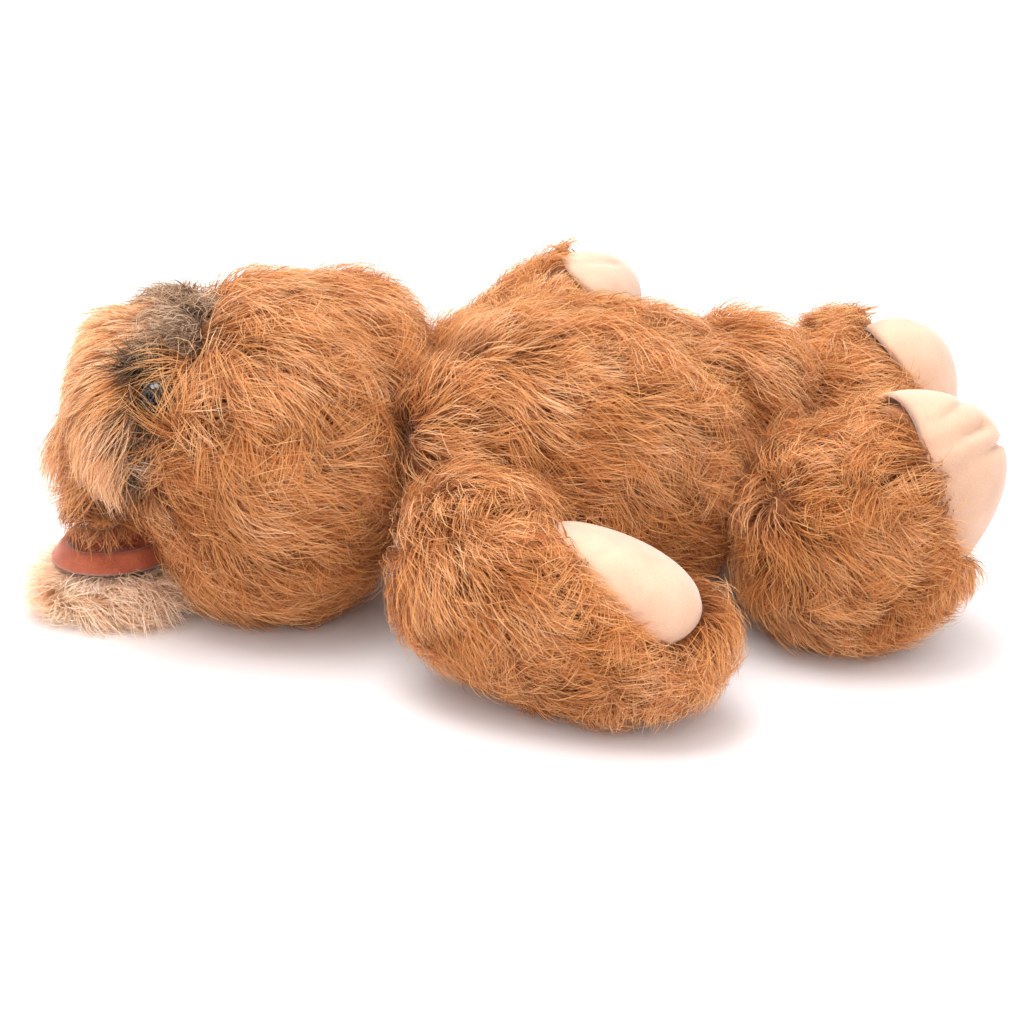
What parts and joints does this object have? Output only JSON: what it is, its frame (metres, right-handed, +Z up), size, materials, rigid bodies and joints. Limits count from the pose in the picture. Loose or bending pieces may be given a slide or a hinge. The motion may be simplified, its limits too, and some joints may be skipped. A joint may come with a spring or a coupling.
{
  "type": "stuffed monkey",
  "caption": "Long-pile stuffed monkey lying on its belly, with a velour-lined open mouth, safety eyes, soft palms and soles, and sewn limbs that swing.",
  "frame": {"origin": "middle of the foot of the whole toy's bounding box, on the surface that it lies on", "axes": "+X from the head to the feet, -Y to the toy's left side, +Z up from the surface; the toy lies on its belly"},
  "size_m": [0.4382, 0.3118, 0.1483],
  "materials": {
    "brown_pile": "long shaggy pile, caramel brown",
    "band_pile": "shaggy pile, dark grey-brown round the eyes",
    "cream_pile": "short shaggy pile, cream beige",
    "pad_velour": "short-nap velour, cream",
    "mouth_velour": "short-nap velour, terracotta",
    "nose_velour": "short-nap velour, dark brown",
    "filling": "loose polyester fibre",
    "eye_plastic": "polished moulded plastic, near black",
    "washer_plastic": "natural moulded plastic"
  },
  "bodies": {
    "torso": {"back_panel_left": "brown_pile", "back_panel_right": "brown_pile", "belly_panel": "brown_pile", "torso_filling": "filling"},
    "neck": {"neck_filling": "filling"},
    "head": {"head_panel_left": "brown_pile", "head_panel_right": "brown_pile", "snout_panel_left": "brown_pile", "snout_panel_right": "brown_pile", "eye_band": "band_pile", "head_filling": "filling", "eye_left": "eye_plastic", "eye_right": "eye_plastic", "eye_washer_left": "washer_plastic", "eye_washer_right": "washer_plastic", "nose": "nose_velour", "upper_lip": "brown_pile", "palate_lining": "mouth_velour"},
    "jaw": {"jaw_panel": "cream_pile", "jaw_lining": "mouth_velour", "jaw_filling": "filling"},
    "arm_left": {"arm_left_back_panel": "brown_pile", "arm_left_front_panel": "brown_pile", "arm_left_filling": "filling", "palm_left": "pad_velour"},
    "arm_right": {"arm_right_back_panel": "brown_pile", "arm_right_front_panel": "brown_pile", "arm_right_filling": "filling", "palm_right": "pad_velour"},
    "leg_left": {"leg_left_outer_panel": "brown_pile", "leg_left_inner_panel": "brown_pile", "leg_left_filling": "filling", "sole_left": "pad_velour"},
    "leg_right": {"leg_right_outer_panel": "brown_pile", "leg_right_inner_panel": "brown_pile", "leg_right_filling": "filling", "sole_right": "pad_velour"}
  },
  "joints": [
    {"name": "neck_turn", "type": "hinge", "parent": "torso", "child": "neck", "pos_m": [-0.05126, 0.00249, 0.068], "axis": [0, 0, 1], "range_deg": [-24, 8], "stiffness_Nm_per_rad": 1.2},
    {"name": "head_nod", "type": "hinge", "parent": "neck", "child": "head", "pos_m": [-0.05126, 0.00249, 0.068], "axis": [-0.1392, 0.9903, 0], "range_deg": [-12, 12], "stiffness_Nm_per_rad": 3},
    {"name": "jaw_open", "type": "hinge", "parent": "head", "child": "jaw", "pos_m": [-0.15425, -0.01198, 0.022], "axis": [-0.1392, 0.9903, 0], "range_deg": [-10, 6], "stiffness_Nm_per_rad": 0.3},
    {"name": "shoulder_left_swing", "type": "hinge", "parent": "torso", "child": "arm_left", "pos_m": [-0.02126, -0.04951, 0.062], "axis": [0, 0, 1], "range_deg": [-30, 4], "stiffness_Nm_per_rad": 0.8},
    {"name": "shoulder_right_swing", "type": "hinge", "parent": "torso", "child": "arm_right", "pos_m": [-0.02526, 0.05449, 0.066], "axis": [0, 0, 1], "range_deg": [-4, 30], "stiffness_Nm_per_rad": 0.8},
    {"name": "hip_left_lift", "type": "hinge", "parent": "torso", "child": "leg_left", "pos_m": [0.10674, -0.03351, 0.056], "axis": [0, 1, 0], "range_deg": [-18, 24], "stiffness_Nm_per_rad": 2},
    {"name": "hip_right_lift", "type": "hinge", "parent": "torso", "child": "leg_right", "pos_m": [0.10674, 0.03849, 0.056], "axis": [0, 1, 0], "range_deg": [-18, 24], "stiffness_Nm_per_rad": 2}
  ]
}
